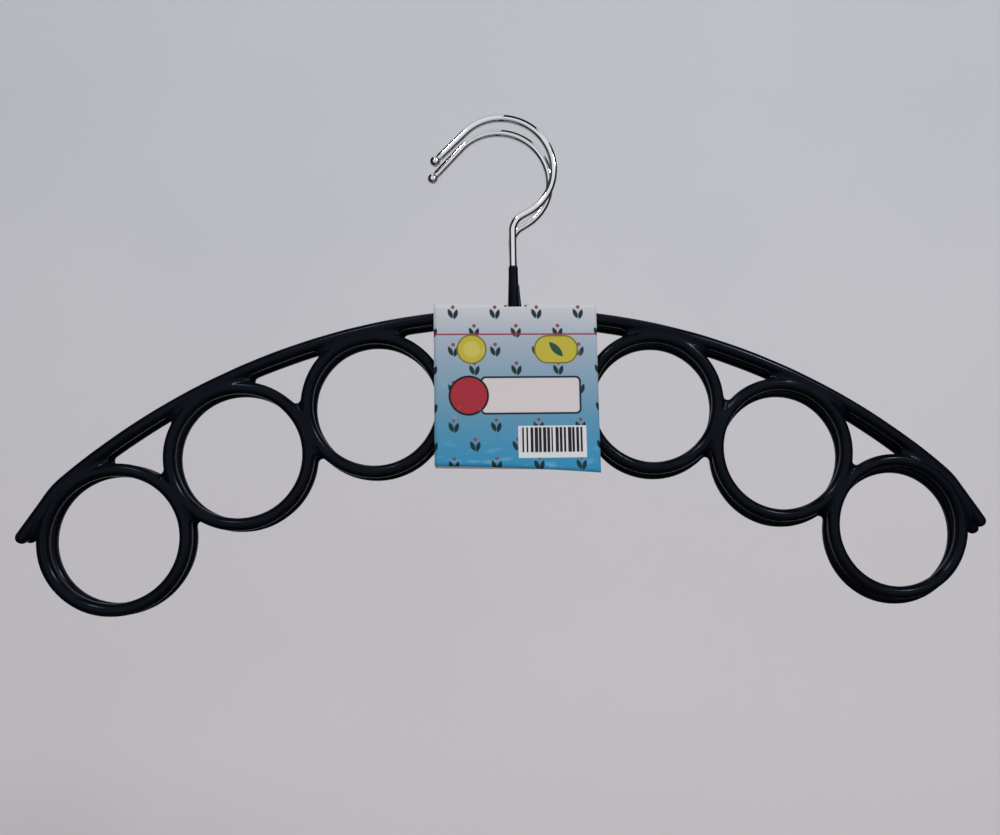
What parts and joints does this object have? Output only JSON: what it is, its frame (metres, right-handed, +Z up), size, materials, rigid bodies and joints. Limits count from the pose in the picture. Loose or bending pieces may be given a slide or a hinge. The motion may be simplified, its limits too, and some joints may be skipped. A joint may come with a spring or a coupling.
{
  "type": "scarf hanger",
  "caption": "Pair of coated wire scarf hangers with a row of rings under an arched rail and a chromed hook, held together by a folded card.",
  "frame": {"origin": "the seat inside the front hook, straight above its stem, where the hanger rests on a rail", "axes": "+Z up, +X to the right along the rail seen from the front, -Y towards the printed front of the card"},
  "size_m": [0.4374, 0.0167, 0.2316],
  "materials": {
    "coating": "satin black soft plastic, dipped",
    "wire": "bare drawn steel under the coating",
    "chrome": "bright chrome",
    "card": "printed card, pale top fading to blue"
  },
  "bodies": {
    "front_hanger": {"front_rail_wire": "wire", "front_rail_coating": "coating", "front_ring_wire_1": "wire", "front_ring_coating_1": "coating", "front_ring_wire_2": "wire", "front_ring_coating_2": "coating", "front_ring_wire_3": "wire", "front_ring_coating_3": "coating", "front_ring_wire_4": "wire", "front_ring_coating_4": "coating", "front_ring_wire_5": "wire", "front_ring_coating_5": "coating", "front_ring_wire_6": "wire", "front_ring_coating_6": "coating", "front_ring_wire_7": "wire", "front_ring_coating_7": "coating", "front_welds": "wire", "front_hook": "chrome", "front_sleeve": "coating"},
    "back_hanger": {"back_rail_wire": "wire", "back_rail_coating": "coating", "back_ring_wire_1": "wire", "back_ring_coating_1": "coating", "back_ring_wire_2": "wire", "back_ring_coating_2": "coating", "back_ring_wire_3": "wire", "back_ring_coating_3": "coating", "back_ring_wire_4": "wire", "back_ring_coating_4": "coating", "back_ring_wire_5": "wire", "back_ring_coating_5": "coating", "back_ring_wire_6": "wire", "back_ring_coating_6": "coating", "back_ring_wire_7": "wire", "back_ring_coating_7": "coating", "back_welds": "wire", "back_hook": "chrome", "back_sleeve": "coating"},
    "card_spine": {"card_spine": "card"},
    "card_front": {"card_front_panel": "card"},
    "card_back": {"card_back_panel": "card"}
  },
  "joints": [
    {"name": "back_hanger_slide", "type": "slide", "parent": "front_hanger", "child": "back_hanger", "axis": [0, 0, 1], "range_m": [-0.012, 0.0016]},
    {"name": "card_lift", "type": "slide", "parent": "front_hanger", "child": "card_spine", "axis": [0, 0, 1], "range_m": [0, 0.018]},
    {"name": "front_panel_fold", "type": "hinge", "parent": "card_spine", "child": "card_front", "pos_m": [0.0003, -0.00485, -0.08802], "axis": [-1, 0, 0], "range_deg": [0, 120]},
    {"name": "back_panel_fold", "type": "hinge", "parent": "card_spine", "child": "card_back", "pos_m": [0.0003, 0.01115, -0.08802], "axis": [1, 0, 0], "range_deg": [0, 120]}
  ]
}
